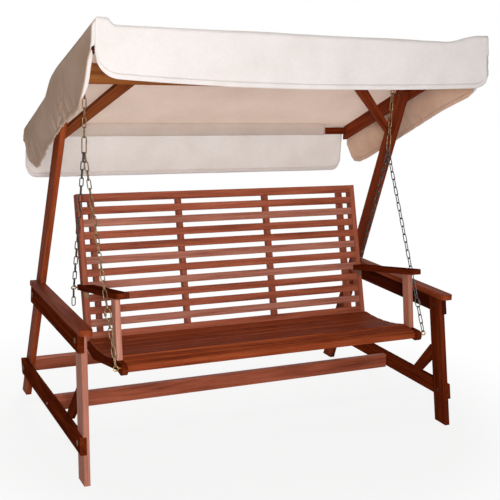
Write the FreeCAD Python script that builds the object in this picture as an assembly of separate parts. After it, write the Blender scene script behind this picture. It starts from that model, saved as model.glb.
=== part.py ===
import FreeCAD, Part
import math
import os

# Garden swing: a slatted bench hung by chains in a stand of bolted boards under a cloth canopy.
# Millimetres. X runs along the bench, Y to the rear, Z up from the ground.
# Right-hand pieces are drawn and left-hand ones are their mirror images.

# Side frames: flat, then leaned inward; distances out from the front leg's outer face.
frame_half_width = 1000
frame_lean_degrees = 1.375
leg_thickness = 28
rail_thickness = 30
rail_proud = 15
joint_gap = 0.3
foot_allowance = 40

leg_foot_front_y = -600
leg_level_width = 91
leg_lean_degrees = 10.5

post_foot_rear_y = 665
post_level_width = 91
post_lean_degrees = 21
post_top_height = 1738

lower_rail_bottom_z = 137
lower_rail_height = 78
lower_rail_clip = 35
arm_rail_bottom_z = 583
arm_rail_height = 90
arm_rail_post_lap = 52

stand_arm_thickness = 27
stand_arm_width = 62
stand_arm_outer = 20
stand_arm_overhang = 58
stand_arm_tail = 3
stand_arm_corner_radius = 22
board_edge_round = 3

brace_upper_rise = 185
brace_lower_rise = 120
brace_upper_reach = 199
brace_lower_reach = 134
brace_thickness = 22
brace_level_cut = 14

# Boards across the stand.
stretcher_thickness = 30
middle_stretcher_front_y = -4
middle_stretcher_drop = 9
middle_stretcher_height = 76
rear_stretcher_rise = 14
rear_stretcher_height = 77
beam_thickness = 38
beam_height = 87
knee_thickness = 30
knee_beam_inset = 315
knee_beam_width = 81
knee_post_drop = 239
knee_post_width = 54

# Canopy frame; the side rails slope down to the rear.
canopy_rail_thickness = 28
canopy_rail_height = 70
canopy_rail_slope = 0.451
canopy_rail_rise = 12.493
canopy_rail_front_y = -636
canopy_rail_rear_y = 580
cross_rail_thickness = 28
front_rail_height = 60
front_rail_drop = 44
rear_rail_height = 38
rear_rail_drop = 3.5

# Cloth. The roof bends at set distances in from its side edges.
cloth_thickness = 3
cloth_gap = 0.8
roof_side_inset = 10
roof_shoulder_inset = 110
roof_slope_inset = 60
roof_beam_end_inset = 38
roof_fold_inset = 8
roof_edge_drop = 7
roof_front_overhang = 14
roof_rear_overhang = 8
roof_row_share = 0.5
roof_front_sag = 35
roof_rear_crown = 10
roof_beam_lift = 2
roof_beam_outer_drop = 32
roof_beam_edge_drop = 42
front_valance_inset = 7
front_valance_corner = 109
front_valance_drop = 232
front_valance_corner_lift = 26
front_valance_reach = 9
front_valance_wave = 2
rear_valance_inset = 11
rear_valance_drop = 275
rear_valance_reach = 6
side_valance_drop = 250
side_valance_end_gap = 3
side_valance_corner = 90
side_valance_corner_drop = 105
side_valance_reach = 7
side_valance_fold = 5
side_fold_length = 112
side_fold_samples = 6
valance_column = 70
valance_wave_length = 420
valance_row_shares = (0, 0.45, 1)

# Chains and eyes.
chain_wire = 5
chain_width = 22
chain_pitch = 42
chain_gap = 0.3
eye_wire = 6
eye_radius = 11
eye_shank = 8
eye_nut_width = 16
eye_nut_thickness = 6
hang_inset = 150
beam_eye_drop = 32
beam_eye_setback = 11.3
beam_eye_grip = 60
ring_drop = 217
ring_length = 82
ring_width = 27
front_eye_out = 24
rear_eye_out = 19
ring_side_step = 2.9
quick_link_width = 30
quick_link_nut = 11
quick_link_nut_length = 18
left_quick_link_index = 17
right_quick_link_index = 19
tail_links = 2

# Bench, in its own upright frame, then leaned back about the X axis.
bench_lean_degrees = 10.5
bench_side_clearance = 188
side_plane_thickness = 27
back_foot_y = -82
back_foot_z = 493
back_recline_degrees = 6
back_height = 702
back_low_reach = 27.6
back_slat_count = 12
back_slat_width = 38
top_slat_width = 41
back_slat_thickness = 22
end_stile_proud = 2
end_stile_depth = 50
inner_stile_width = 25
inner_stile_depth = 38
inner_stile_drop = 28
second_stile_inset = 55
middle_stile_share = 0.326
middle_stile_drop = 84
bearer_thickness = 28
tenon_thickness = 11
tenon_width = 32
tenon_depth = 24
tenon_gap = 0.2
stile_tenon_reach = 20

seat_back_gap = 22
seat_back_drop = 18
seat_depth = 428
seat_low_share = 0.528
seat_low_drop = 38
seat_front_drop = 29
seat_slat_count = 7
seat_slat_gap = 7
seat_slat_thickness = 14
seat_end_inset = 6
roll_slat_width = 30
roll_slat_degrees = 24
roll_slat_reach = 24.5
roll_slat_drop = 14
front_slat_reach = 68
front_slat_thickness = 27
front_slat_top_drop = 22
front_slat_arris_drop = 39
front_slat_bottom_drop = 69
front_slat_round = 4
rail_tail = 44
rail_tail_depth = 50
rail_heel_y = -103
rail_heel_depth = 63
rail_waist_y = -175
rail_low_depth = 92
rail_neck_reach = 13
nose_centre_reach = 67
nose_centre_drop = 53.5
nose_radius = 26
nose_low_degrees = 73
arm_thickness = 27
arm_height = 292
arm_front_reach = 97
arm_tail = 110
arm_inner_lap = 24
arm_outer_overhang = 11
arm_corner_radius = 18
support_reach = 22
support_depth = 50
rear_eye_inset = 22
front_eye_reach = 73
front_eye_drop = 44
bracket_leaf = 38
bracket_width = 20
bracket_thickness = 2.5

# Bolts.
bolt_diameter = 8
bolt_hole = 8.6
bolt_head = 26
bolt_head_height = 5
bolt_nut = 14
bolt_nut_height = 6
screw_head = 16
screw_head_height = 3
screw_grip = 36
pilot_depth = 40
post_bolt_inset = 18

half_turn = 180
parallel_tolerance = 0.01
far = 3000
hexagon_sides = 6

frame_lean = math.radians(frame_lean_degrees)
post_lean = math.radians(post_lean_degrees)
leg_slope = math.tan(math.radians(leg_lean_degrees))
post_slope = math.tan(post_lean)
back_recline = math.radians(back_recline_degrees)


def leg_front(z):
    return leg_foot_front_y + leg_slope * z


def leg_rear(z):
    return leg_front(z) + leg_level_width


def post_rear(z):
    return post_foot_rear_y - post_slope * z


def post_front(z):
    return post_rear(z) - post_level_width


def canopy_top(y):
    """Height of the canopy side rails' upper edge."""
    return post_top_height + canopy_rail_rise - canopy_rail_slope * (y - post_top_y)


# Places in the stand that follow from these sizes.
post_inset = rail_thickness - rail_proud
leg_inner = -leg_thickness
post_outer = -post_inset
post_inner = -post_inset - leg_thickness
post_length = post_top_height / math.cos(post_lean)
post_centre_y = post_foot_rear_y - post_level_width / 2
post_top_y = post_centre_y - post_length * math.sin(post_lean)
lower_rail_top_z = lower_rail_bottom_z + lower_rail_height
lower_rail_rear_y = post_rear(lower_rail_top_z)
arm_rail_top_z = arm_rail_bottom_z + arm_rail_height
arm_rail_rear_y = post_front((arm_rail_bottom_z + arm_rail_top_z) / 2) + arm_rail_post_lap
stand_arm_front_y = leg_front(arm_rail_top_z) - stand_arm_overhang
stand_arm_rear_y = arm_rail_rear_y + stand_arm_tail
middle_stretcher_bottom_z = lower_rail_bottom_z - middle_stretcher_drop
middle_stretcher_top_z = middle_stretcher_bottom_z + middle_stretcher_height
rear_stretcher_bottom = lower_rail_bottom_z / math.cos(post_lean) + rear_stretcher_rise
rear_stretcher_top = rear_stretcher_bottom + rear_stretcher_height
knee_upper_beam_x = frame_half_width - knee_beam_inset
knee_lower_beam_x = knee_upper_beam_x - knee_beam_width
knee_upper_post = post_length - knee_post_drop
knee_lower_post = knee_upper_post - knee_post_width
hang_x = frame_half_width - hang_inset
hook_y = post_top_y - beam_eye_setback
beam_eye_z = post_top_height - beam_eye_drop
ring_top_z = beam_eye_z - ring_drop
ring_bottom_z = ring_top_z - ring_length

# Places in the canopy.
roof_half_width = frame_half_width - roof_side_inset
roof_front_y = canopy_rail_front_y - roof_front_overhang
roof_rear_y = canopy_rail_rear_y + roof_rear_overhang
roof_mid_front_z = canopy_top(roof_front_y) - roof_front_sag
roof_mid_rear_z = canopy_top(roof_rear_y) + roof_rear_crown
beam_top_y = post_centre_y - (post_length + beam_height) * math.sin(post_lean)
beam_top_z = (post_length + beam_height) * math.cos(post_lean)
beam_half_y = beam_thickness / 2 * math.cos(post_lean)
beam_half_z = beam_thickness / 2 * math.sin(post_lean)
roof_beam_front_y = beam_top_y - beam_half_y - roof_beam_lift
roof_beam_front_z = beam_top_z - beam_half_z + roof_beam_lift
roof_beam_rear_y = beam_top_y + beam_half_y + roof_beam_lift
roof_beam_rear_z = beam_top_z + beam_half_z + roof_beam_lift
front_valance_half_width = roof_half_width - front_valance_inset
front_valance_straight_half = front_valance_half_width - front_valance_corner
rear_valance_half_width = roof_half_width - rear_valance_inset
side_valance_front_y = roof_front_y + side_valance_end_gap
side_valance_rear_y = roof_rear_y - side_valance_end_gap

# Places in the bench.
side_plane_outer = frame_half_width - bench_side_clearance
side_plane_inner = side_plane_outer - side_plane_thickness
second_stile_x = side_plane_inner - second_stile_inset
middle_stile_x = side_plane_inner * middle_stile_share
seat_half_length = side_plane_outer - seat_end_inset
arm_inner_x = side_plane_inner - arm_inner_lap
arm_outer_x = side_plane_outer + arm_outer_overhang
front_eye_x = side_plane_outer + front_eye_out
rear_eye_x = arm_outer_x + rear_eye_out
back_slat_pitch = (back_height - top_slat_width + back_low_reach) / (back_slat_count - 1)
seat_rear_y = back_foot_y - seat_back_gap
seat_rear_z = back_foot_z - seat_back_drop
seat_low_y = seat_rear_y - seat_depth * seat_low_share
seat_low_z = seat_rear_z - seat_low_drop
seat_front_y = seat_rear_y - seat_depth
seat_front_z = seat_rear_z - seat_front_drop
rail_rear_y = back_foot_y + rail_tail
rail_low_z = seat_rear_z - rail_low_depth
nose_centre_y = seat_front_y - nose_centre_reach
nose_centre_z = seat_front_z - nose_centre_drop
front_slat_y = seat_front_y - front_slat_reach
support_front_y = seat_front_y - support_reach
arm_top_z = seat_front_z + arm_height
arm_front_y = seat_front_y - arm_front_reach
arm_rear_y = back_foot_y + arm_tail
rear_eye_y = arm_rear_y - rear_eye_inset
front_eye_y = seat_front_y - front_eye_reach
front_eye_z = seat_front_z - front_eye_drop


def vector(x, y, z):
    return FreeCAD.Vector(x, y, z)


def x_axis():
    return vector(1, 0, 0)


def y_axis():
    return vector(0, 1, 0)


def z_axis():
    return vector(0, 0, 1)


def origin():
    return vector(0, 0, 0)


def plate(corners, along):
    """A flat outline pushed along a vector."""
    wire = Part.makePolygon(corners + [corners[0]])
    return Part.Face(wire).extrude(along)


def side_board(outline, inner_x, thickness):
    """A board whose outline is given as (y, z) points, between two X planes."""
    corners = [vector(inner_x, y, z) for y, z in outline]
    return plate(corners, vector(thickness, 0, 0))


def box_between(x_range, y_range, z_range):
    low = vector(x_range[0], y_range[0], z_range[0])
    sizes = [pair[1] - pair[0] for pair in (x_range, y_range, z_range)]
    return Part.makeBox(sizes[0], sizes[1], sizes[2], low)


def rod(start, along, diameter, length):
    return Part.makeCylinder(diameter / 2, length, start, along)


def hexagon(start, along, across, thickness):
    """A six-sided nut with its axis along a vector."""
    turn = 2 * math.pi / hexagon_sides
    corner = across / 2 / math.cos(turn / 2)
    points = []
    for step in range(hexagon_sides):
        points.append(vector(corner * math.cos(step * turn), corner * math.sin(step * turn), 0))
    nut = plate(points, vector(0, 0, thickness))
    nut.Placement = FreeCAD.Placement(start, FreeCAD.Rotation(z_axis(), along))
    return nut


def mirrored(shape):
    return shape.mirror(origin(), x_axis())


def rounded(shape, edges, radius):
    return shape.makeFillet(radius, edges)


def edges_along(shape, direction):
    """Straight edges of a shape that run along a direction."""
    found = []
    for edge in shape.Edges:
        if edge.Curve.TypeId != "Part::GeomLine":
            continue
        if edge.tangentAt(edge.FirstParameter).cross(direction).Length < parallel_tolerance:
            found.append(edge)
    return found


def group(shapes):
    return Part.makeCompound(shapes)


def in_side_frame(shape):
    """Leans a side frame inward and stands it at its place on the right."""
    placed = shape.copy()
    placed.rotate(origin(), y_axis(), -frame_lean_degrees)
    placed.translate(vector(frame_half_width, 0, 0))
    return placed


def in_rear_frame(shape):
    """Leans a piece drawn upright over the post feet forward with the posts."""
    placed = shape.copy()
    placed.rotate(origin(), x_axis(), post_lean_degrees)
    placed.translate(vector(0, post_centre_y, 0))
    return placed


def in_bench(shape):
    placed = shape.copy()
    placed.rotate(origin(), x_axis(), -bench_lean_degrees)
    return placed


def bench_point(x, y, z):
    lean = math.radians(bench_lean_degrees)
    turned_y = y * math.cos(lean) + z * math.sin(lean)
    turned_z = z * math.cos(lean) - y * math.sin(lean)
    return vector(x, turned_y, turned_z)


def frame_x(out, z):
    """X of a plane of the right side frame at a height."""
    return frame_half_width + out - z * math.tan(frame_lean)


def above_ground(shape):
    return shape.common(box_between((-far, far), (-far, far), (0, far)))


def side_frame_bolts():
    """Bolts of the right side frame as (y, z, outer face, inner face)."""
    lower_mid = (lower_rail_bottom_z + lower_rail_top_z) / 2
    arm_mid = (arm_rail_bottom_z + arm_rail_top_z) / 2
    canopy_z = post_top_height - canopy_rail_height / 2
    leg_low_y = (leg_front(lower_mid) + leg_rear(lower_mid)) / 2
    leg_high_y = (leg_front(arm_mid) + leg_rear(arm_mid)) / 2
    post_low_y = post_front(lower_mid) + post_bolt_inset
    post_arm_y = (post_front(arm_mid) + arm_rail_rear_y) / 2
    post_high_y = (post_front(canopy_z) + post_rear(canopy_z)) / 2
    canopy_outer = post_outer + canopy_rail_thickness
    return [
        (leg_low_y, lower_mid, rail_proud, leg_inner),
        (leg_high_y, arm_mid, rail_proud, leg_inner),
        (post_low_y, lower_mid, rail_proud, post_inner),
        (post_arm_y, arm_mid, rail_proud, post_inner),
        (post_high_y, canopy_z, canopy_outer, post_inner),
    ]


def side_frame_screws():
    """Long screws through the right side frame into the stretchers, as the bolts are given."""
    middle_z = (middle_stretcher_bottom_z + middle_stretcher_top_z) / 2
    middle_y = middle_stretcher_front_y + stretcher_thickness / 2
    rear_s = (rear_stretcher_bottom + rear_stretcher_top) / 2
    rear_y = post_centre_y - rear_s * math.sin(post_lean)
    rear_z = rear_s * math.cos(post_lean)
    return [(middle_y, middle_z, rail_proud, -post_inset), (rear_y, rear_z, rail_proud, post_inner)]


def bolt(start, end):
    """A domed bolt from one face to another with a washer face and nut at its far end."""
    along = end - start
    length = along.Length
    along.normalize()
    shank = rod(start, along, bolt_diameter, length + bolt_nut_height)
    ball = ((bolt_head / 2) ** 2 + bolt_head_height ** 2) / (2 * bolt_head_height)
    sphere = Part.makeSphere(ball, start + along * (ball - bolt_head_height))
    head = sphere.common(rod(start - along * bolt_head_height, along, bolt_head, bolt_head_height))
    nut = hexagon(end, along, bolt_nut, bolt_nut_height)
    return shank.fuse(head).fuse(nut).removeSplitter()


def screw(start, end):
    """A long screw whose end grips beyond the last face that it passes."""
    along = end - start
    length = along.Length + screw_grip
    along.normalize()
    shank = rod(start, along, bolt_diameter, length)
    head = rod(start - along * screw_head_height, along, screw_head, screw_head_height)
    return shank.fuse(head).removeSplitter()


def drilled_side_board(board):
    """Takes the side frame's bolt and screw holes out of a board."""
    for y, z, outer, inner in side_frame_bolts() + side_frame_screws():
        board = board.cut(rod(vector(-far, y, z), x_axis(), bolt_hole, 2 * far))
    return board


def lower_rail_outline():
    return [
        (leg_front(lower_rail_bottom_z), lower_rail_bottom_z),
        (lower_rail_rear_y - lower_rail_clip, lower_rail_bottom_z),
        (lower_rail_rear_y, lower_rail_top_z),
        (leg_front(lower_rail_top_z), lower_rail_top_z),
    ]


def arm_rail_outline():
    return [
        (leg_front(arm_rail_bottom_z), arm_rail_bottom_z),
        (arm_rail_rear_y, arm_rail_bottom_z),
        (arm_rail_rear_y, arm_rail_top_z),
        (leg_front(arm_rail_top_z), arm_rail_top_z),
    ]


def side_rail(outline):
    board = side_board(outline, -post_inset, rail_thickness)
    board = rounded(board, edges_along(board, y_axis()), board_edge_round)
    return drilled_side_board(board)


def front_leg():
    """A flat board with housings for the two rails in its outer face."""
    low = -foot_allowance
    outline = [
        (leg_front(low), low),
        (leg_rear(low), low),
        (leg_rear(arm_rail_top_z), arm_rail_top_z),
        (leg_front(arm_rail_top_z), arm_rail_top_z),
    ]
    board = side_board(outline, leg_inner, leg_thickness)
    lower_housing = box_between(
        (-post_inset, far), (-far, far), (lower_rail_bottom_z - joint_gap, lower_rail_top_z + joint_gap)
    )
    arm_housing = box_between((-post_inset, far), (-far, far), (arm_rail_bottom_z - joint_gap, far))
    board = board.cut(lower_housing).cut(arm_housing)
    return above_ground(in_side_frame(drilled_side_board(board)))


def rear_post():
    """The long board that leans forward, cut square under the beam."""
    half = post_level_width * math.cos(post_lean) / 2
    board = box_between((post_inner, post_outer), (-half, half), (-foot_allowance, post_length))
    board.rotate(origin(), x_axis(), post_lean_degrees)
    board.translate(vector(0, post_centre_y, 0))
    return above_ground(in_side_frame(drilled_side_board(board)))


def post_slot():
    """Room that the stand's arm leaves round the post."""
    half = post_level_width * math.cos(post_lean) / 2 + joint_gap
    room = box_between((post_inner - joint_gap, post_outer + joint_gap), (-half, half), (0, post_length))
    room.rotate(origin(), x_axis(), post_lean_degrees)
    room.translate(vector(0, post_centre_y, 0))
    return room


def stand_arm():
    """The stand's level arm with rounded front corners, notched round the post."""
    outer = stand_arm_outer
    board = box_between(
        (outer - stand_arm_width, outer),
        (stand_arm_front_y, stand_arm_rear_y),
        (arm_rail_top_z, arm_rail_top_z + stand_arm_thickness),
    )
    corners = []
    for edge in edges_along(board, z_axis()):
        if edge.CenterOfMass.y < 0:
            corners.append(edge)
    board = rounded(board, corners, stand_arm_corner_radius)
    top_edges = []
    for edge in board.Edges:
        if edge.BoundBox.ZMin > arm_rail_top_z:
            top_edges.append(edge)
    board = rounded(board, top_edges, board_edge_round)
    return in_side_frame(board.cut(post_slot()))


def leg_brace():
    """A short diagonal from the front leg down to the lower rail."""
    rail_top = lower_rail_top_z
    corner_y = leg_rear(rail_top)
    upper_z = rail_top + brace_upper_rise
    lower_z = rail_top + brace_lower_rise
    outline = [
        (leg_rear(upper_z), upper_z),
        (leg_rear(lower_z), lower_z),
        (corner_y + brace_lower_reach, rail_top),
        (corner_y + brace_upper_reach, rail_top),
        (leg_rear(upper_z) + brace_level_cut, upper_z),
    ]
    centre = -leg_thickness / 2 - brace_thickness / 2
    return in_side_frame(side_board(outline, centre, brace_thickness))


def middle_stretcher():
    """A board between the lower rails, its ends cut to the frames' lean."""
    corners = []
    for z in (middle_stretcher_bottom_z, middle_stretcher_top_z):
        reach = frame_x(-post_inset - joint_gap, z)
        ends = [vector(-reach, middle_stretcher_front_y, z), vector(reach, middle_stretcher_front_y, z)]
        corners += ends if z == middle_stretcher_bottom_z else ends[::-1]
    board = plate(corners, vector(0, stretcher_thickness, 0))
    return with_end_holes(board, side_frame_screws()[0])


def with_end_holes(board, place):
    """Pilot holes in both ends of a cross board for the frames' end screws."""
    y, z, outer, inner = place
    hole = in_side_frame(rod(vector(inner, y, z), -x_axis(), bolt_hole, pilot_depth))
    return board.cut(hole).cut(mirrored(hole))


def rear_board(corners, thickness):
    """A board in the posts' leaning plane, its outline in (x, distance up the posts)."""
    points = [vector(x, -thickness / 2, s) for x, s in corners]
    return in_rear_frame(plate(points, vector(0, thickness, 0)))


def post_face_x(face, s):
    """X of a face of the right post at a distance up its length."""
    return frame_x(face, s * math.cos(post_lean))


def rear_stretcher():
    low = post_face_x(post_inner - joint_gap, rear_stretcher_bottom)
    high = post_face_x(post_inner - joint_gap, rear_stretcher_top)
    outline = [
        (-low, rear_stretcher_bottom),
        (low, rear_stretcher_bottom),
        (high, rear_stretcher_top),
        (-high, rear_stretcher_top),
    ]
    board = rear_board(outline, stretcher_thickness)
    return with_end_holes(board, side_frame_screws()[1])


def top_beam():
    """The beam on the post tops that carries the bench."""
    reach = post_face_x(post_outer, post_length + beam_height)
    outline = [
        (-reach, post_length),
        (reach, post_length),
        (reach, post_length + beam_height),
        (-reach, post_length + beam_height),
    ]
    board = rear_board(outline, beam_thickness)
    for x in (-hang_x, hang_x):
        low = vector(x, hook_y, beam_eye_z + 2 * eye_radius)
        board = board.cut(rod(low, z_axis(), bolt_hole, beam_eye_grip + joint_gap))
    return board


def knee_brace():
    outline = [
        (knee_lower_beam_x, post_length),
        (knee_upper_beam_x, post_length),
        (post_face_x(post_inner - joint_gap, knee_upper_post), knee_upper_post),
        (post_face_x(post_inner - joint_gap, knee_lower_post), knee_lower_post),
    ]
    return rear_board(outline, knee_thickness)


def canopy_side_rail():
    """A sloping board bolted to the post's outer face."""
    drop = canopy_rail_height * math.hypot(1, canopy_rail_slope)
    outline = [
        (canopy_rail_front_y, canopy_top(canopy_rail_front_y) - drop),
        (canopy_rail_rear_y, canopy_top(canopy_rail_rear_y) - drop),
        (canopy_rail_rear_y, canopy_top(canopy_rail_rear_y)),
        (canopy_rail_front_y, canopy_top(canopy_rail_front_y)),
    ]
    board = side_board(outline, post_outer, canopy_rail_thickness)
    return in_side_frame(drilled_side_board(board))


def canopy_cross_rail(front_y, top_z, height):
    """A board between the canopy's side rails, its ends cut to their lean."""
    low = frame_x(post_outer - joint_gap, top_z - height)
    high = frame_x(post_outer - joint_gap, top_z)
    corners = [
        vector(-low, front_y, top_z - height),
        vector(low, front_y, top_z - height),
        vector(high, front_y, top_z),
        vector(-high, front_y, top_z),
    ]
    return plate(corners, vector(0, cross_rail_thickness, 0))


def frame_bolts():
    """All bolts and screws of both side frames."""
    pieces = []
    for y, z, outer, inner in side_frame_bolts():
        pieces.append(bolt(vector(outer, y, z), vector(inner, y, z)))
    for y, z, outer, inner in side_frame_screws():
        pieces.append(screw(vector(outer, y, z), vector(inner, y, z)))
    right = [in_side_frame(piece) for piece in pieces]
    return group(right + [mirrored(piece) for piece in right])


def sheet(rows, offset):
    """A closed sheet: rows of points, triangles between them, and the same moved by an offset."""
    other = [[point + offset for point in row] for row in rows]
    faces = []
    last_row = len(rows) - 1
    last_column = len(rows[0]) - 1

    def add_pair(a, b, c, d):
        faces.append(Part.Face(Part.makePolygon([a, b, c, a])))
        faces.append(Part.Face(Part.makePolygon([a, c, d, a])))

    for i in range(last_row):
        for j in range(last_column):
            for side in (rows, other):
                add_pair(side[i][j], side[i][j + 1], side[i + 1][j + 1], side[i + 1][j])
    for j in range(last_column):
        add_pair(rows[0][j], rows[0][j + 1], other[0][j + 1], other[0][j])
        add_pair(rows[last_row][j], rows[last_row][j + 1], other[last_row][j + 1], other[last_row][j])
    for i in range(last_row):
        add_pair(rows[i][0], rows[i + 1][0], other[i + 1][0], other[i][0])
        add_pair(
            rows[i][last_column], rows[i + 1][last_column], other[i + 1][last_column], other[i][last_column]
        )
    solid = Part.Solid(Part.Shell(faces))
    if solid.Volume < 0:
        solid.reverse()
    return solid


def roof_row(y):
    """The roof's under surface across the canopy at one distance back, as (x, z) pairs."""
    rail_z = canopy_top(y) + cloth_gap
    on_beam = {roof_beam_front_y: roof_beam_front_z, roof_beam_rear_y: roof_beam_rear_z}
    if y in on_beam:
        beam_z = on_beam[y]
        outer = [beam_z - roof_beam_outer_drop, beam_z - roof_beam_edge_drop]
        heights = [beam_z, beam_z, beam_z, beam_z] + outer
    else:
        if y < roof_beam_front_y:
            share = (y - roof_front_y) / (roof_beam_front_y - roof_front_y)
            middle = roof_mid_front_z + (roof_beam_front_z - roof_mid_front_z) * share
        else:
            share = (y - roof_beam_rear_y) / (roof_rear_y - roof_beam_rear_y)
            middle = roof_beam_rear_z + (roof_mid_rear_z - roof_beam_rear_z) * share
        heights = [middle, middle, rail_z, rail_z, rail_z, rail_z - roof_edge_drop]
    places = [0] + [roof_half_width - inset for inset in roof_insets()]
    right = list(zip(places, heights))
    left = [(-x, z) for x, z in right[:0:-1]]
    return [vector(x, y, z) for x, z in left + right]


def roof_insets():
    """Distances in from the roof's side edges at which its surface bends."""
    return (roof_shoulder_inset, roof_slope_inset, roof_beam_end_inset, roof_fold_inset, 0)


def roof_rows():
    """Distances back at which the roof's surface bends."""
    before = roof_front_y + (roof_beam_front_y - roof_front_y) * roof_row_share
    behind = roof_beam_rear_y + (roof_rear_y - roof_beam_rear_y) * roof_row_share
    return (roof_front_y, before, roof_beam_front_y, roof_beam_rear_y, behind, roof_rear_y)


def canopy_roof():
    """The roof over the rails and the beam, open underneath."""
    rows = []
    for y in roof_rows():
        rows.append(roof_row(y))
    return sheet(rows, vector(0, 0, cloth_thickness))


def height_along(points, place, axis):
    """Height of a line of points at a place along X or Y."""
    for first, second in zip(points, points[1:]):
        low = getattr(first, axis)
        high = getattr(second, axis)
        if low <= place <= high:
            return first.z + (second.z - first.z) * (place - low) / (high - low)
    return points[-1].z


def spaced(low, high, step):
    """Evenly spaced places from one end to the other, about a step apart."""
    count = max(1, round((high - low) / step))
    return [low + (high - low) * index / count for index in range(count + 1)]


def corner_rise(reach, radius):
    """How far a rounded corner has come up at a distance into it."""
    return radius - math.sqrt(max(0, radius ** 2 - reach ** 2))


def front_valance():
    """The flap along the roof's front edge, with rounded lower corners."""
    edge = roof_row(roof_front_y)
    mid_z = roof_mid_front_z + cloth_thickness - front_valance_drop
    places = spaced(-front_valance_half_width, front_valance_half_width, valance_column)
    for inset in (roof_slope_inset, roof_beam_end_inset):
        places += [inset - roof_half_width, roof_half_width - inset]
    rows = [[], [], []]
    for x in sorted(places):
        top = height_along(edge, x, "x") + cloth_thickness
        share = min(1, abs(x) / front_valance_straight_half)
        bottom = mid_z + front_valance_corner_lift * share ** 2
        bottom += corner_rise(max(0, abs(x) - front_valance_straight_half), front_valance_corner)
        wave = front_valance_wave * math.sin(2 * math.pi * x / valance_wave_length)
        for row, down in zip(rows, valance_row_shares):
            y = roof_front_y - cloth_thickness - (front_valance_reach + wave) * down
            row.append(vector(x, y, top + (bottom - top) * down))
    return sheet(rows, vector(0, cloth_thickness, 0))


def rear_valance():
    edge = roof_row(roof_rear_y)
    bottom = roof_mid_rear_z + cloth_thickness - rear_valance_drop
    rows = [[], [], []]
    for x in spaced(-rear_valance_half_width, rear_valance_half_width, valance_column):
        top = height_along(edge, x, "x") + cloth_thickness
        wave = front_valance_wave * math.sin(2 * math.pi * x / valance_wave_length)
        for row, down in zip(rows, valance_row_shares):
            y = roof_rear_y + (rear_valance_reach + wave) * down
            row.append(vector(x, y, top + (bottom - top) * down))
    return sheet(rows, vector(0, cloth_thickness, 0))


def side_valance():
    """The gathered flap along the right edge of the roof."""
    edge = [roof_row(y)[-1] for y in roof_rows()]
    rows = [[], [], []]
    for y in spaced(side_valance_front_y, side_valance_rear_y, side_fold_length / side_fold_samples):
        top = height_along(edge, y, "y") + cloth_thickness
        from_end = min(y - side_valance_front_y, side_valance_rear_y - y)
        into = max(0, side_valance_corner - from_end) / side_valance_corner
        short = (side_valance_drop - side_valance_corner_drop) * corner_rise(into, 1)
        fold = side_valance_fold * math.sin(2 * math.pi * y / side_fold_length)
        for row, down in zip(rows, valance_row_shares):
            x = roof_half_width + (side_valance_reach + fold) * down
            row.append(vector(x, y, top - (side_valance_drop - short) * down))
    return sheet(rows, vector(cloth_thickness, 0, 0))


def oval(wire_spacing, width, wire):
    """A closed oval link along Z, centred, lying in the XZ plane."""
    radius = (width - wire) / 2
    half = wire_spacing / 2 - radius
    disc = Part.Face(Part.Wire(Part.makeCircle(wire / 2, vector(radius, 0, half), z_axis())))
    bend = disc.revolve(vector(0, 0, half), -y_axis(), half_turn)
    low = bend.mirror(origin(), z_axis())
    link = bend.fuse(low)
    for side in (-radius, radius):
        link = link.fuse(rod(vector(side, 0, -half), z_axis(), wire, 2 * half))
    return link.removeSplitter()


def placed_link(link, centre, along, turned):
    """Puts an oval on a chain's line; links not turned have their flat square to X."""
    normal = x_axis() - along * along.x
    normal.normalize()
    if turned:
        normal = along.cross(normal)
    placed = link.copy()
    rotation = FreeCAD.Rotation(normal.cross(along), normal, along, "ZYX")
    placed.Placement = FreeCAD.Placement(centre, rotation)
    return placed


def link_spacing(distance, count, end_wires):
    """Wire to wire length of each link so that a number of them spans a distance."""
    ends = (end_wires + 2 * chain_wire) / 2 + 2 * chain_gap
    return (distance + ends + (count - 1) * (chain_wire + chain_gap)) / count


def chain(start, end, start_wire, end_wire, swaps):
    """Links from one eye's wire to another's, with some links swapped for quick links."""
    along = end - start
    distance = along.Length
    along.normalize()
    count = round((distance / chain_pitch - 1) / 2) * 2 + 1
    spacing = link_spacing(distance, count, start_wire + end_wire)
    plain = oval(spacing, chain_width, chain_wire)
    links = []
    for index in range(count):
        place = spacing / 2 - (start_wire + chain_wire) / 2 - chain_gap
        place += index * (spacing - chain_wire - chain_gap)
        link = quick_link(spacing) if index in swaps else plain
        links.append(placed_link(link, start + along * place, along, index % 2 == 1))
    return links


def quick_link(spacing):
    """A wider oval closed by a sleeve nut on one side."""
    link = oval(spacing, quick_link_width, chain_wire)
    side = (quick_link_width - chain_wire) / 2
    start = vector(side, 0, -quick_link_nut_length / 2)
    return link.fuse(hexagon(start, z_axis(), quick_link_nut, quick_link_nut_length)).removeSplitter()


def junction_ring():
    """The oval ring under the upper chain that both bench chains hang from."""
    ring = oval(ring_top_z - ring_bottom_z, ring_width, eye_wire)
    ring.translate(vector(hang_x, hook_y, (ring_top_z + ring_bottom_z) / 2))
    return ring


def upper_chain():
    start = vector(hang_x, hook_y, beam_eye_z)
    end = vector(hang_x, hook_y, ring_top_z)
    return group(chain(start, end, eye_wire, eye_wire, ()) + [junction_ring()])


def front_eye_centre():
    return bench_point(front_eye_x, front_eye_y, front_eye_z)


def rear_eye_centre():
    return bench_point(rear_eye_x, rear_eye_y, arm_top_z - arm_thickness / 2)


def bench_chain(eye_centre, step, swaps):
    """A chain from the junction ring's lower wire to an eye on the bench."""
    bend = (ring_width - eye_wire) / 2
    rise = corner_rise(abs(step) + chain_wire / 2, bend)
    start = vector(hang_x + step, hook_y, ring_bottom_z + rise)
    end = eye_centre + pull_direction(eye_centre) * eye_radius
    return chain(start, end, eye_wire, eye_wire, swaps)


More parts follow.
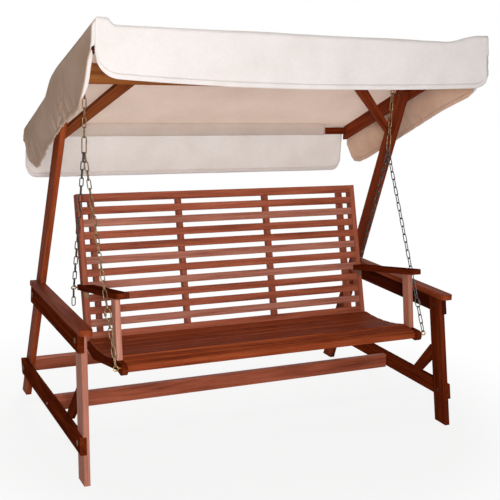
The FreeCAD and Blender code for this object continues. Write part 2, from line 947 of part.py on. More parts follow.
def tail():
    """A short spare end of chain that hangs from the rear eye."""
    centre = rear_eye_centre()
    start = centre - pull_direction(centre) * eye_radius
    spacing = chain_pitch + chain_wire + chain_gap
    plain = oval(spacing, chain_width, chain_wire)
    links = []
    for index in range(tail_links):
        place = spacing / 2 - (eye_wire + chain_wire) / 2 - chain_gap
        place += index * (spacing - chain_wire - chain_gap)
        links.append(placed_link(plain, start - z_axis() * place, -z_axis(), index % 2 == 1))
    return links


def pull_direction(eye_centre):
    """From an eye of the bench towards the ring that carries it, square to X."""
    back = vector(eye_centre.x, hook_y, ring_bottom_z) - eye_centre
    back.normalize()
    return back


def ring_eye(centre, shank_length):
    """An eye in the plane of X and its chain, with its shank towards the bench."""
    ring = Part.makeTorus(eye_radius, eye_wire / 2, centre, x_axis().cross(pull_direction(centre)))
    shank = rod(centre - x_axis() * eye_radius, -x_axis(), eye_shank, shank_length)
    return ring.fuse(shank).removeSplitter()


def beam_eye_bolts():
    """Eye screws up into the beam."""
    pieces = []
    for x in (-hang_x, hang_x):
        centre = vector(x, hook_y, beam_eye_z + eye_radius)
        ring = Part.makeTorus(eye_radius, eye_wire / 2, centre, y_axis())
        shank = rod(centre + z_axis() * eye_radius, z_axis(), eye_shank, beam_eye_grip)
        pieces.append(ring.fuse(shank).removeSplitter())
    return group(pieces)


def bench_eye_bolts():
    """Eyes screwed into the side rails' noses and through the rear ends of the arms."""
    front_reach = front_eye_x - eye_radius - side_plane_inner - joint_gap
    front = ring_eye(front_eye_centre(), front_reach)
    rear_reach = rear_eye_x - eye_radius - arm_inner_x + eye_nut_thickness
    rear = ring_eye(rear_eye_centre(), rear_reach)
    nut_place = rear_eye_centre()
    nut_place.x = arm_inner_x
    nut = hexagon(nut_place, -x_axis(), eye_nut_width, eye_nut_thickness)
    rear = rear.fuse(nut).removeSplitter()
    right = [front, rear]
    return group(right + [mirrored(piece) for piece in right])


def back_board(x_range, across, depth_range):
    """A board of the back: X range, distance up the back, depth behind its front face."""
    board = box_between(x_range, depth_range, across)
    board.rotate(origin(), x_axis(), -back_recline_degrees)
    board.translate(vector(0, back_foot_y, back_foot_z))
    return board


def back_slat(index):
    if index == 0:
        top = back_height
        width = top_slat_width
    else:
        top = back_height - top_slat_width - index * back_slat_pitch + back_slat_width
        width = back_slat_width
    reach = side_plane_inner - joint_gap
    board = back_board((-reach, reach), (top - width, top), (0, back_slat_thickness))
    return in_bench(rounded(board, edges_along(board, x_axis()), board_edge_round))


def end_stile():
    """An end upright of the back, shaped to the side rail's top and tenoned into it."""
    low = (rail_low_z - back_foot_z) / math.cos(back_recline)
    depth = (-end_stile_proud, end_stile_depth - end_stile_proud)
    board = back_board((side_plane_inner, side_plane_outer), (low, back_height), depth)
    board = board.cut(seat_rail_board(side_plane_inner, side_plane_thickness))
    return in_bench(above_rail(board).fuse(stile_tenon(0)).removeSplitter())


def inner_stiles():
    """Four uprights behind the slats."""
    boards = []
    half = inner_stile_width / 2
    depth = (back_slat_thickness, back_slat_thickness + inner_stile_depth)
    for x, drop in ((second_stile_x, inner_stile_drop), (middle_stile_x, middle_stile_drop)):
        for centre in (-x, x):
            span = (-drop, back_height - top_slat_width / 2)
            board = back_board((centre - half, centre + half), span, depth)
            boards.append(in_bench(board))
    return group(boards)


def seat_points():
    return (seat_rear_y, seat_rear_z), (seat_low_y, seat_low_z), (seat_front_y, seat_front_z)


def seat_arc():
    """The hollow curve of the seat's upper face, from the rear to the front."""
    rear, low, front = [vector(0, y, z) for y, z in seat_points()]
    return Part.Arc(rear, low, front).toShape()


def seat_slats():
    """Slats laid on the seat rails, each flat and square to the curve."""
    arc = seat_arc()
    pitch = arc.Length / seat_slat_count
    slats = []
    for index in range(seat_slat_count):
        parameter = arc.getParameterByLength(pitch * (index + 1 / 2))
        centre = arc.valueAt(parameter)
        forward = arc.tangentAt(parameter)
        half = (pitch - seat_slat_gap) / 2
        board = box_between((-seat_half_length, seat_half_length), (-half, half), (-seat_slat_thickness, 0))
        board = rounded(board, edges_along(board, x_axis()), board_edge_round)
        turn = math.degrees(math.atan2(-forward.z, -forward.y))
        board.rotate(origin(), x_axis(), turn)
        board.translate(centre)
        slats.append(in_bench(clear_of_supports(board)))
    slats.append(roll_slat())
    return group(slats)


def support_room():
    room = box_between(
        (side_plane_inner - joint_gap, side_plane_outer + joint_gap),
        (support_front_y - joint_gap, support_front_y + support_depth + joint_gap),
        (0, arm_top_z),
    )
    return room


def clear_of_supports(board):
    room = support_room()
    return board.cut(room).cut(mirrored(room))


def roll_slat():
    """A narrow slat between the side rails that leads the seat down to the front slat."""
    reach = side_plane_inner - joint_gap
    half = roll_slat_width / 2
    board = box_between((-reach, reach), (-half, half), (-seat_slat_thickness, 0))
    board = rounded(board, edges_along(board, x_axis()), board_edge_round)
    board.rotate(origin(), x_axis(), roll_slat_degrees)
    board.translate(vector(0, seat_front_y - roll_slat_reach, seat_front_z - roll_slat_drop))
    return in_bench(board)


def roll_slat_under(out):
    """A point just under the narrow slat, a distance out from its middle towards the front."""
    turn = math.radians(roll_slat_degrees)
    down = seat_slat_thickness + joint_gap
    y = seat_front_y - roll_slat_reach - out * math.cos(turn) + down * math.sin(turn)
    z = seat_front_z - roll_slat_drop - out * math.sin(turn) - down * math.cos(turn)
    return vector(0, y, z)


def front_slat():
    """The upright front slat between the side rails, its top planed to the seat's roll."""
    rear_y = front_slat_y + front_slat_thickness
    outline = [
        (front_slat_y, seat_front_z - front_slat_bottom_drop),
        (rear_y, seat_front_z - front_slat_bottom_drop),
        (rear_y, seat_front_z - front_slat_top_drop),
        (front_slat_y, seat_front_z - front_slat_arris_drop),
    ]
    reach = side_plane_inner - joint_gap
    board = side_board(outline, -reach, 2 * reach)
    return in_bench(rounded(board, edges_along(board, x_axis()), front_slat_round))


def rail_top_edges():
    """The side rails' top from the rear to the seat's front: a flat, then the seat's curve."""
    arc = seat_arc()
    centre = arc.Curve.Center
    radius = arc.Curve.Radius
    half = (arc.Length / seat_slat_count - seat_slat_gap) / 2
    drop = seat_slat_thickness + half ** 2 / (2 * radius) + joint_gap
    on_top = [vector(0, y, z) for y, z in seat_points()]
    rear_top, mid_top, front_top = [point + (point - centre) * (drop / radius) for point in on_top]
    back_top = vector(0, rail_rear_y, rear_top.z)
    return [Part.makeLine(back_top, rear_top), Part.Arc(rear_top, mid_top, front_top).toShape()]


def rail_low_points():
    """The side rails' lower edge from the waist back to the tail."""
    return [
        vector(0, rail_waist_y, rail_low_z),
        vector(0, rail_heel_y, seat_rear_z - rail_heel_depth),
        vector(0, rail_rear_y, seat_rear_z - rail_tail_depth),
    ]


def closed_profile(edges, points):
    """A face bounded by some edges and by straight lines on through points to their start."""
    start = edges[0].valueAt(edges[0].FirstParameter)
    place = edges[-1].valueAt(edges[-1].LastParameter)
    lines = []
    for point in points + [start]:
        lines.append(Part.makeLine(place, point))
        place = point
    return Part.Face(Part.Wire(edges + lines))


def seat_rail_board(inner_x, thickness):
    """A curved side rail whose front end is a round nose."""
    low = math.radians(nose_low_degrees)
    nose_top = vector(0, nose_centre_y, nose_centre_z + nose_radius)
    nose_tip = vector(0, nose_centre_y - nose_radius, nose_centre_z)
    nose_low = vector(0, nose_radius * math.cos(low), -nose_radius * math.sin(low))
    nose_low = nose_low + vector(0, nose_centre_y, nose_centre_z)
    edges = rail_top_edges()
    front_top = edges[-1].valueAt(edges[-1].LastParameter)
    edges.append(Part.makeLine(front_top, nose_top))
    edges.append(Part.Arc(nose_top, nose_tip, nose_low).toShape())
    neck = vector(0, seat_front_y - rail_neck_reach, rail_low_z)
    profile = closed_profile(edges, [neck] + rail_low_points())
    profile.translate(vector(inner_x, 0, 0))
    return profile.extrude(vector(thickness, 0, 0))


def above_rail(board):
    """The part of an upright that stands over the side rail."""
    if len(board.Solids) < 2:
        return board
    return max(board.Solids, key=lambda solid: solid.CenterOfMass.z)


def side_tenon(centre_y, shoulder_z, gap):
    """A tenon under an upright of the bench's side, or with a gap its mortise."""
    centre_x = (side_plane_inner + side_plane_outer) / 2
    half_x = tenon_thickness / 2 + gap
    half_y = tenon_width / 2 + gap
    x_range = (centre_x - half_x, centre_x + half_x)
    z_range = (shoulder_z - tenon_depth - gap, shoulder_z + tenon_depth)
    return box_between(x_range, (centre_y - half_y, centre_y + half_y), z_range)


def support_tenon(gap):
    return side_tenon(support_front_y + support_depth / 2, seat_front_z - seat_slat_thickness, gap)


def stile_tenon(gap):
    return side_tenon(back_foot_y + stile_tenon_reach, seat_rear_z - seat_slat_thickness, gap)


def seat_side_rail():
    """A side rail with mortises in its top and a hole through its nose for the eye."""
    board = seat_rail_board(side_plane_inner, side_plane_thickness)
    board = board.cut(support_tenon(tenon_gap)).cut(stile_tenon(tenon_gap))
    return in_bench(board.cut(rod(vector(0, front_eye_y, front_eye_z), x_axis(), bolt_hole, far)))


def seat_bearers():
    """Two middle rails beside the middle stiles, up to the front slat."""
    edges = rail_top_edges()
    turn = math.radians(roll_slat_degrees)
    slat_rear = roll_slat_under(-roll_slat_width / 2)
    front_y = front_slat_y + front_slat_thickness + joint_gap
    front_top = vector(0, front_y, slat_rear.z + (front_y - slat_rear.y) * math.tan(turn))
    front_low = vector(0, front_y, rail_low_z)
    profile = closed_profile(edges, [slat_rear, front_top, front_low] + rail_low_points())
    profile.translate(vector(middle_stile_x + inner_stile_width / 2, 0, 0))
    right = in_bench(profile.extrude(vector(bearer_thickness, 0, 0)))
    return group([right, mirrored(right)])


def arm_support():
    """The arm's support, shaped to the side rail's top and tenoned into it."""
    board = box_between(
        (side_plane_inner, side_plane_outer),
        (support_front_y, support_front_y + support_depth),
        (rail_low_z, arm_top_z - arm_thickness),
    )
    board = board.cut(seat_rail_board(side_plane_inner, side_plane_thickness))
    return in_bench(above_rail(board).fuse(support_tenon(0)).removeSplitter())


def arm():
    """The bench's arm with rounded ends, notched for the end stile and the slats."""
    heights = (arm_top_z - arm_thickness, arm_top_z)
    board = box_between((arm_inner_x, arm_outer_x), (arm_front_y, arm_rear_y), heights)
    corners = edges_along(board, z_axis())
    board = rounded(board, corners, arm_corner_radius)
    top_edges = []
    for edge in board.Edges:
        if edge.BoundBox.ZMin > arm_top_z - arm_thickness / 2:
            top_edges.append(edge)
    board = rounded(board, top_edges, board_edge_round)
    slot = back_board(
        (0, side_plane_outer + joint_gap),
        (0, back_height),
        (-end_stile_proud - joint_gap, end_stile_depth - end_stile_proud + joint_gap),
    )
    board = board.cut(slot)
    eye_hole = rod(vector(0, rear_eye_y, arm_top_z - arm_thickness / 2), x_axis(), bolt_hole, far)
    return in_bench(board.cut(eye_hole))


def arm_brackets():
    """Small angles under the arms in front of the end stiles."""
    under = arm_top_z - arm_thickness
    up = (under - back_foot_z) / math.cos(back_recline)
    front = back_foot_y + up * math.sin(back_recline) - end_stile_proud
    centre = side_plane_inner + side_plane_thickness / 2
    x_range = (centre - bracket_width / 2, centre + bracket_width / 2)
    leaf = (front - bracket_leaf, front - bracket_thickness)
    flat = box_between(x_range, leaf, (under - bracket_thickness, under))
    slack = bracket_leaf * math.sin(back_recline) + joint_gap
    upright = box_between(
        x_range, (front - slack - bracket_thickness, front - slack), (under - bracket_leaf, under)
    )
    bracket = in_bench(flat.fuse(upright).removeSplitter())
    return [bracket, mirrored(bracket)]


def stand_nodes():
    nodes = {}
    lower = in_side_frame(side_rail(lower_rail_outline()))
    upper = in_side_frame(side_rail(arm_rail_outline()))
    pairs = {
        "front_leg": front_leg(),
        "rear_post": rear_post(),
        "lower_rail": lower,
        "arm_rail": upper,
        "stand_arm": stand_arm(),
        "leg_brace": leg_brace(),
        "knee_brace": knee_brace(),
        "canopy_side_rail": canopy_side_rail(),
    }
    for name, shape in pairs.items():
        nodes[name + "_right"] = shape
        nodes[name + "_left"] = mirrored(shape)
    nodes["middle_stretcher"] = middle_stretcher()
    nodes["rear_stretcher"] = rear_stretcher()
    nodes["top_beam"] = top_beam()
    front_top = canopy_top(canopy_rail_front_y) - front_rail_drop
    rear_top = canopy_top(canopy_rail_rear_y) - rear_rail_drop
    rear_rail_y = canopy_rail_rear_y - cross_rail_thickness
    nodes["canopy_front_rail"] = canopy_cross_rail(canopy_rail_front_y, front_top, front_rail_height)
    nodes["canopy_rear_rail"] = canopy_cross_rail(rear_rail_y, rear_top, rear_rail_height)
    nodes["frame_bolts"] = frame_bolts()
    nodes["beam_eye_bolts"] = beam_eye_bolts()
    return nodes


def cloth_nodes():
    side = side_valance()
    return {
        "canopy_roof": canopy_roof(),
        "front_valance": front_valance(),
        "rear_valance": rear_valance(),
        "side_valance_right": side,
        "side_valance_left": mirrored(side),
    }


def chain_nodes():
    upper = upper_chain()
    front = {
        "right": bench_chain(front_eye_centre(), -ring_side_step, (right_quick_link_index,)),
        "left": bench_chain(front_eye_centre(), -ring_side_step, (left_quick_link_index,)),
    }
    rear = bench_chain(rear_eye_centre(), ring_side_step, ())
    return {
        "upper_chain_right": upper,
        "upper_chain_left": mirrored(upper),
        "front_chain_right": group(front["right"]),
        "front_chain_left": mirrored(group(front["left"])),
        "rear_chain_right": group(rear),
        "rear_chain_left": mirrored(group(rear + tail())),
    }


def bench_nodes():
    nodes = {}
    for index in range(back_slat_count):
        nodes["back_slat_" + str(index + 1)] = back_slat(index)
    pairs = {
        "end_stile": end_stile(),
        "seat_side_rail": seat_side_rail(),
        "bench_arm": arm(),
        "arm_support": arm_support(),
    }
    for name, shape in pairs.items():
        nodes[name + "_right"] = shape
        nodes[name + "_left"] = mirrored(shape)
    nodes["inner_stiles"] = inner_stiles()
    nodes["seat_slats"] = seat_slats()
    nodes["front_slat"] = front_slat()
    nodes["seat_bearers"] = seat_bearers()
    nodes["bench_eye_bolts"] = bench_eye_bolts()
    nodes["bench_fittings"] = group(arm_brackets())
    return nodes


os.makedirs("parts", exist_ok=True)
for make in (stand_nodes, cloth_nodes, chain_nodes, bench_nodes):
    for name, shape in make().items():
        shape.exportStep("parts/" + name + ".step")
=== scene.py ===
import math
import bpy
from mathutils import Matrix, Vector


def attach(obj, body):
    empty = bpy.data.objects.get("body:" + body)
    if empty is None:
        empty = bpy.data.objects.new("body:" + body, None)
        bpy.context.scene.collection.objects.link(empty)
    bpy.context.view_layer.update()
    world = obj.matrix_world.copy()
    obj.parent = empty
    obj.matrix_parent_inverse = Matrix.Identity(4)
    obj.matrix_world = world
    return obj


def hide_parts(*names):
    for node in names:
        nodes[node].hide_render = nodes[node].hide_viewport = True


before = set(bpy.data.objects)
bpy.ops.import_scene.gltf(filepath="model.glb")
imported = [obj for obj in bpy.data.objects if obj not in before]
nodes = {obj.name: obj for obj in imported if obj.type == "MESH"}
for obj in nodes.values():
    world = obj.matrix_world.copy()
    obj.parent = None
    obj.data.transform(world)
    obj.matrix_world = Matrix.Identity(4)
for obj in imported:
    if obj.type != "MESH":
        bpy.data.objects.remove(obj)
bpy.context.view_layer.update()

print("stage: frame loaded,", len(nodes), "nodes")


# small tools

def hexLinear(code):
    # a web colour as linear light, by the sRGB curve
    values = [int(code[i:i + 2], 16) / 255 for i in (1, 3, 5)]
    return [v / 12.92 if v <= 0.04045 else ((v + 0.055) / 1.055) ** 2.4 for v in values] + [1.0]


def smooth(low, high, value):
    t = min(1, max(0, (value - low) / (high - low)))
    return t * t * (3 - 2 * t)


def blend(first, second, share):
    return first + (second - first) * share


def spaced(low, high, count):
    return [low + (high - low) * i / count for i in range(count + 1)]


def newObject(name, data):
    obj = bpy.data.objects.new(name, data)
    bpy.context.scene.collection.objects.link(obj)
    return obj


def newMaterial(name):
    material = bpy.data.materials.new(name)
    material.use_nodes = True
    material.node_tree.nodes.clear()
    return material, material.node_tree


def giveMaterial(obj, material):
    obj.data.materials.clear()
    obj.data.materials.append(material)


def addNode(tree, kind, settings=None, inputs=None, links=None):
    node = tree.nodes.new(kind)
    for key, value in (settings or {}).items():
        setattr(node, key, value)
    for key, value in (inputs or {}).items():
        node.inputs[key].default_value = value
    for key, source in (links or {}).items():
        tree.links.new(source, node.inputs[key])
    return node


def addMath(tree, operation, *sources):
    # floats become the node's own values, everything else is a link
    inputs = {index: source for index, source in enumerate(sources) if isinstance(source, float)}
    links = {index: source for index, source in enumerate(sources) if index not in inputs}
    return addNode(tree, "ShaderNodeMath", {"operation": operation}, inputs, links).outputs[0]


def addRange(tree, value, source, target, interpolation="LINEAR"):
    inputs = {"From Min": source[0], "From Max": source[1], "To Min": target[0], "To Max": target[1]}
    settings = {"interpolation_type": interpolation}
    return addNode(tree, "ShaderNodeMapRange", settings, inputs, {"Value": value}).outputs["Result"]


def addNoise(tree, vector, scale, detail, roughness=0.5, distortion=0.0):
    inputs = {"Scale": scale, "Detail": detail, "Roughness": roughness, "Distortion": distortion}
    return addNode(tree, "ShaderNodeTexNoise", inputs=inputs, links={"Vector": vector}).outputs["Fac"]


def addRamp(tree, value, stops):
    node = addNode(tree, "ShaderNodeValToRGB", links={"Fac": value})
    ramp = node.color_ramp
    while len(ramp.elements) < len(stops):
        ramp.elements.new(0.5)
    for element, (place, colour) in zip(ramp.elements, stops):
        element.position = place
        element.color = hexLinear(colour)
    return node.outputs["Color"]


def addMultiply(tree, first, second):
    return addNode(tree, "ShaderNodeMix", {"data_type": "RGBA", "blend_type": "MULTIPLY"}, {"Factor": 1.0},
                   {"A": first, "B": second}).outputs["Result"]


def addBump(tree, height, strength, distance, normal=None):
    links = {"Height": height}
    if normal is not None:
        links["Normal"] = normal
    return addNode(tree, "ShaderNodeBump", inputs={"Strength": strength, "Distance": distance},
                   links=links).outputs["Normal"]


# oiled red hardwood, planed and sanded: straight open grain, satin from the oil, paler on the arrises,
# partly wear and partly painted highlight

# one wood in lit and shaded copies: the paler tones are painted light on boards near the lamp, the deeper
# ones painted shade on far boards and on faces turned from the light
woodTonesLitAndShaded = {      # the dark, middle and light colour of the grain
    "deep": ("#310f08", "#48170a", "#592413"),
    "dark": ("#471809", "#67250f", "#7b3419"),
    "russet": ("#58200e", "#7d3317", "#914122"),
    "brown": ("#552810", "#783c1d", "#8b4b27"),
    "middle": ("#6b2b14", "#944121", "#a8522e"),
    "amber": ("#7b4320", "#a3602f", "#b6743f"),
    "warm": ("#7a3824", "#a45439", "#b5664c"),
    "pale": ("#8a4c3c", "#b26f5a", "#c1826c"),
    "sand": ("#a3604c", "#cb8872", "#d79a84"),
}
# the shaded copies also get no reflection, the paler lit copies get the most
woodShine = {
    "deep": 0.0, "dark": 0.0, "russet": 0.03, "brown": 0.04, "middle": 0.06,
    "amber": 0.1, "warm": 0.2, "pale": 0.28, "sand": 0.28,
}
woodLook = {
    "wideGrain": (1.6, 34.0),      # cycles a metre along and across the board: bands of about 30 mm
    "fineGrain": (5.0, 150.0),     # streaks of about 7 mm
    "pores": (11.0, 460.0),        # pore lines of about 2 mm, drawn coarse so that they show
    "toneStops": (0.34, 0.50, 0.66),
    "poreDark": 0.80,
    "seedStep": (1.37, 0.71, 0.43),
    "edgeRadius": 0.0020,
    "wornColour": "#a9614a",
    "wornShare": 0.35,
    "roughness": (0.62, 0.44),
}


def makeHardwood(name, along, tone, seed):
    look = woodLook
    material, tree = newMaterial(name)
    along = Vector(along).normalized()
    helper = Vector((0, 0, 1)) if abs(along.z) < 0.8 else Vector((0, 1, 0))
    sideA = along.cross(helper).normalized()
    sideB = along.cross(sideA).normalized()
    place = addNode(tree, "ShaderNodeTexCoord").outputs["Object"]
    start = [seed * step for step in look["seedStep"]]
    moved = addNode(tree, "ShaderNodeVectorMath", {"operation": "ADD"}, {1: start}, {0: place})

    def stretched(lengthwise, across):
        parts = []
        for axis, scale in ((along, lengthwise), (sideA, across), (sideB, across)):
            dot = addNode(tree, "ShaderNodeVectorMath", {"operation": "DOT_PRODUCT"}, {1: axis * scale},
                          {0: moved.outputs["Vector"]})
            parts.append(dot.outputs["Value"])
        return addNode(tree, "ShaderNodeCombineXYZ", links=dict(zip("XYZ", parts))).outputs["Vector"]

    wide = addNoise(tree, stretched(*look["wideGrain"]), 1.0, 2.0, distortion=0.5)
    fine = addNoise(tree, stretched(*look["fineGrain"]), 1.0, 3.0, 0.6)
    pores = addNoise(tree, stretched(*look["pores"]), 1.0, 2.0, 0.6)
    grain = addMath(tree, "MULTIPLY_ADD", fine, 0.5, addMath(tree, "MULTIPLY", wide, 0.5))
    tones = addRamp(tree, grain, list(zip(look["toneStops"], woodTonesLitAndShaded[tone])))
    poreMask = addRange(tree, pores, (0.36, 0.50), (look["poreDark"], 1.0))
    grained = addMultiply(tree, tones, poreMask)
    bevel = addNode(tree, "ShaderNodeBevel", {"samples": 4}, {"Radius": look["edgeRadius"]})
    rounded = bevel.outputs["Normal"]
    flat = addNode(tree, "ShaderNodeNewGeometry").outputs["Normal"]
    turn = addNode(tree, "ShaderNodeVectorMath", {"operation": "DOT_PRODUCT"}, links={0: rounded, 1: flat})
    # the arrises turn paler where the rounded normal leaves the flat one: partly wear, partly painted
    # highlight
    wearAndHighlight = addRange(tree, turn.outputs["Value"], (0.995, 0.86), (0.0, look["wornShare"]))
    colour = addNode(tree, "ShaderNodeMix", {"data_type": "RGBA"}, {"B": hexLinear(look["wornColour"])},
                     {"Factor": wearAndHighlight, "A": grained})
    shader = addNode(tree, "ShaderNodeBsdfPrincipled",
                     inputs={"IOR": 1.5, "Specular IOR Level": woodShine[tone]},
                     links={"Base Color": colour.outputs["Result"],
                            "Roughness": addRange(tree, fine, (0.0, 1.0), look["roughness"]),
                            "Normal": addBump(tree, pores, 0.30, 0.0005, rounded)})
    addNode(tree, "ShaderNodeOutputMaterial", links={"Surface": shader.outputs["BSDF"]})
    return material


# cream polyester canvas, plain woven: matt, warm white, faint cross lines and a little uneven dye

canvasLook = {
    "threadPitch": 0.0026,      # drawn coarser than the real 0.6 mm so that the weave shows
    "dyeStops": (0.32, 0.62),
    "weave": 0.18, "weaveDepth": 0.0006,
    "crease": 0.35, "foldDepth": 0.006,
    "clear": 0.12,              # the share of light that goes through
}


def makeCanvas(name, light, shade, crease=canvasLook["crease"], clear=canvasLook["clear"]):
    material, tree = newMaterial(name)
    place = addNode(tree, "ShaderNodeTexCoord").outputs["Object"]
    parts = addNode(tree, "ShaderNodeSeparateXYZ", links={"Vector": place}).outputs
    down = addMath(tree, "SUBTRACT", parts["Z"], parts["Y"])
    across = addMath(tree, "ADD", parts["X"], parts["Y"])
    rate = 2 * math.pi / canvasLook["threadPitch"]
    waves = [addMath(tree, "SINE", addMath(tree, "MULTIPLY", source, rate)) for source in (down, across)]
    weave = addMath(tree, "MULTIPLY", *waves)
    blotches = addNoise(tree, place, 5.0, 4.0, 0.6)
    dye = addRamp(tree, blotches, list(zip(canvasLook["dyeStops"], (shade, light))))
    slubs = addRange(tree, addNoise(tree, place, 95.0, 3.0, 0.7), (0.3, 0.7), (0.965, 1.02))
    colour = addMultiply(tree, dye, slubs)
    folds = addNoise(tree, place, 9.0, 3.0, distortion=0.8)
    soft = addBump(tree, folds, crease, canvasLook["foldDepth"])
    fine = addBump(tree, weave, canvasLook["weave"], canvasLook["weaveDepth"], soft)
    shader = addNode(tree, "ShaderNodeBsdfPrincipled",
                     inputs={"Roughness": 0.9, "IOR": 1.45, "Specular IOR Level": 0.1,
                             "Sheen Weight": 0.06, "Sheen Roughness": 0.5},
                     links={"Base Color": colour, "Normal": fine})
    through = addNode(tree, "ShaderNodeBsdfTranslucent", links={"Color": colour, "Normal": soft})
    both = addNode(tree, "ShaderNodeMixShader", inputs={"Fac": clear},
                   links={1: shader.outputs["BSDF"], 2: through.outputs["BSDF"]})
    addNode(tree, "ShaderNodeOutputMaterial", links={"Surface": both.outputs["Shader"]})
    return material


# plated steel: a metal with a thin zinc or brass film, brighter where links rub and dull in the hollows

platedLook = {"spotStops": (0.35, 0.65), "roughSpread": (0.15, -0.08), "pits": 0.15, "pitDepth": 0.0002}


def makePlated(name, bright, dull, roughness):
    look = platedLook
    material, tree = newMaterial(name)
    place = addNode(tree, "ShaderNodeTexCoord").outputs["Object"]
    spots = addNoise(tree, place, 60.0, 4.0, 0.65)
    pits = addNoise(tree, place, 900.0, 2.0)
    roughRange = [roughness + spread for spread in look["roughSpread"]]
    shader = addNode(tree, "ShaderNodeBsdfPrincipled", inputs={"Metallic": 1.0},
                     links={"Base Color": addRamp(tree, spots, list(zip(look["spotStops"], (dull, bright)))),
                            "Roughness": addRange(tree, spots, (0.0, 1.0), roughRange),
                            "Normal": addBump(tree, pits, look["pits"], look["pitDepth"])})
    addNode(tree, "ShaderNodeOutputMaterial", links={"Surface": shader.outputs["BSDF"]})
    return material


# the camera stands in front of the left end, as high as the roof, turned and tilted as the boards show

cameraView = {
    "place": (-2.1200, -4.3906, 1.9686),
    "yaw": 0.4619,
    "pitch": 0.2183,
    "roll": 0.0430,
    "lens": 68.76,
    "sensor": 36,
    "farthest": 60,
}


def makeCamera():
    yaw, pitch, roll = cameraView["yaw"], cameraView["pitch"], cameraView["roll"]
    forward = Vector((math.sin(yaw) * math.cos(pitch), math.cos(yaw) * math.cos(pitch), -math.sin(pitch)))
    right = Vector((math.cos(yaw), -math.sin(yaw), 0))
    up = right.cross(forward)
    turnedRight = right * math.cos(roll) + up * math.sin(roll)
    turnedUp = up * math.cos(roll) - right * math.sin(roll)
    data = bpy.data.cameras.new("camera")
    data.sensor_width = cameraView["sensor"]
    data.lens = cameraView["lens"]
    data.clip_end = cameraView["farthest"]
    camera = newObject("camera", data)
    camera.matrix_world = Matrix.Translation(cameraView["place"]) @ Matrix(
        [[turnedRight[i], turnedUp[i], -forward[i]] for i in range(3)]).to_4x4()
    bpy.context.scene.camera = camera


makeCamera()
print("stage: camera")


# boards: every wooden node keeps its own shape and gets grain along its length

postLean = math.radians(21)
legLean = math.radians(10.5)
benchLean = math.radians(10.5)
backLean = math.radians(16.5)
grainAlong = {
    "x": (1, 0, 0),
    "y": (0, 1, 0),
    "post": (0, -math.sin(postLean), math.cos(postLean)),
    "leg": (0, math.sin(legLean), math.cos(legLean)),
    "brace": (0, 0.139, -0.152),
    "kneeRight": (0.279, 0.095, -0.247),
    "kneeLeft": (-0.279, 0.095, -0.247),
    "canopySide": (0, 1, -0.451),
    "stile": (0, math.sin(backLean), math.cos(backLean)),
    "benchSide": (0, math.cos(benchLean), -math.sin(benchLean)),
    "support": (0, math.sin(benchLean), math.cos(benchLean)),
}
# each board's tone is painted light or shade: right-hand boards and boards seen on their shaded side take
# the darker copies, near left-hand and front-lit boards take the paler ones
boardGrainAndLightTone = {
    "front_leg_right": ("leg", "dark"), "front_leg_left": ("leg", "pale"),
    "rear_post_right": ("post", "russet"), "rear_post_left": ("post", "middle"),
    "lower_rail": ("y", "dark"), "leg_brace": ("brace", "dark"),
    "arm_rail_right": ("y", "deep"), "arm_rail_left": ("y", "dark"), "stand_arm": ("y", "middle"),
    "knee_brace_right": ("kneeRight", "russet"), "knee_brace_left": ("kneeLeft", "brown"),
    "canopy_side_rail_right": ("canopySide", "russet"), "canopy_side_rail_left": ("canopySide", "brown"),
    "canopy_front_rail": ("x", "warm"), "canopy_rear_rail": ("x", "dark"), "top_beam": ("x", "amber"),
    "middle_stretcher": ("x", "warm"), "rear_stretcher": ("x", "warm"),
    "end_stile": ("stile", "warm"), "inner_stiles": ("stile", "warm"),
    "seat_side_rail": ("benchSide", "dark"), "bench_arm": ("benchSide", "dark"),
    "seat_bearers": ("benchSide", "dark"),
    "arm_support_right": ("support", "pale"), "arm_support_left": ("support", "sand"),
    "seat_slats": ("x", "middle"), "front_slat": ("x", "middle"),
}
slatTones = ("warm", "warm", "pale", "warm", "warm", "pale", "warm", "pale", "warm", "warm", "pale", "warm")


def dressBoards():
    for count, (name, obj) in enumerate(sorted(nodes.items())):
        if name.startswith("back_slat_"):
            index = int(name.rsplit("_", 1)[1])
            along, tone = "x", slatTones[index - 1]
        else:
            key = name if name in boardGrainAndLightTone else name.replace("_right", "").replace("_left", "")
            if key not in boardGrainAndLightTone:
                continue
            along, tone = boardGrainAndLightTone[key]
        label = "hardwood-" + name.replace("_", "-")
        giveMaterial(obj, makeHardwood(label, grainAlong[along], tone, count + 1))


dressBoards()
print("stage: boards")


# chains, eyes, bolts and brackets: plated as the photograph's colours show; the upper chains and the left
# front chain get a brighter, yellower copy of the chain steel as painted light, the right front and rear
# chains a darker, greyer copy as painted shade

# one chain steel in two copies: brighter and yellower as painted light, darker and greyer as painted shade
chainSteelLit = makePlated("chain steel with yellow zinc film", "#a98c69", "#5d4b39", 0.38)
chainSteelShaded = makePlated("chain steel with dull zinc film", "#74736f", "#3d3e3e", 0.42)
bronzedSteel = makePlated("bronzed bolt steel", "#8d745a", "#584538", 0.45)
brassPlate = makePlated("brass-plated steel", "#c2a05a", "#8a6c3a", 0.32)
metalNodes = {
    "upper_chain_right": chainSteelLit, "upper_chain_left": chainSteelLit,
    "front_chain_right": chainSteelShaded, "front_chain_left": chainSteelLit,
    "rear_chain_right": chainSteelShaded, "rear_chain_left": chainSteelShaded,
    "frame_bolts": bronzedSteel, "beam_eye_bolts": brassPlate,
    "bench_eye_bolts": brassPlate, "bench_fittings": bronzedSteel,
}
for name, material in metalNodes.items():
    giveMaterial(nodes[name], material)
print("stage: metal")


# cloth: heights and reaches in metres; the rails and the beam carry the roof from below

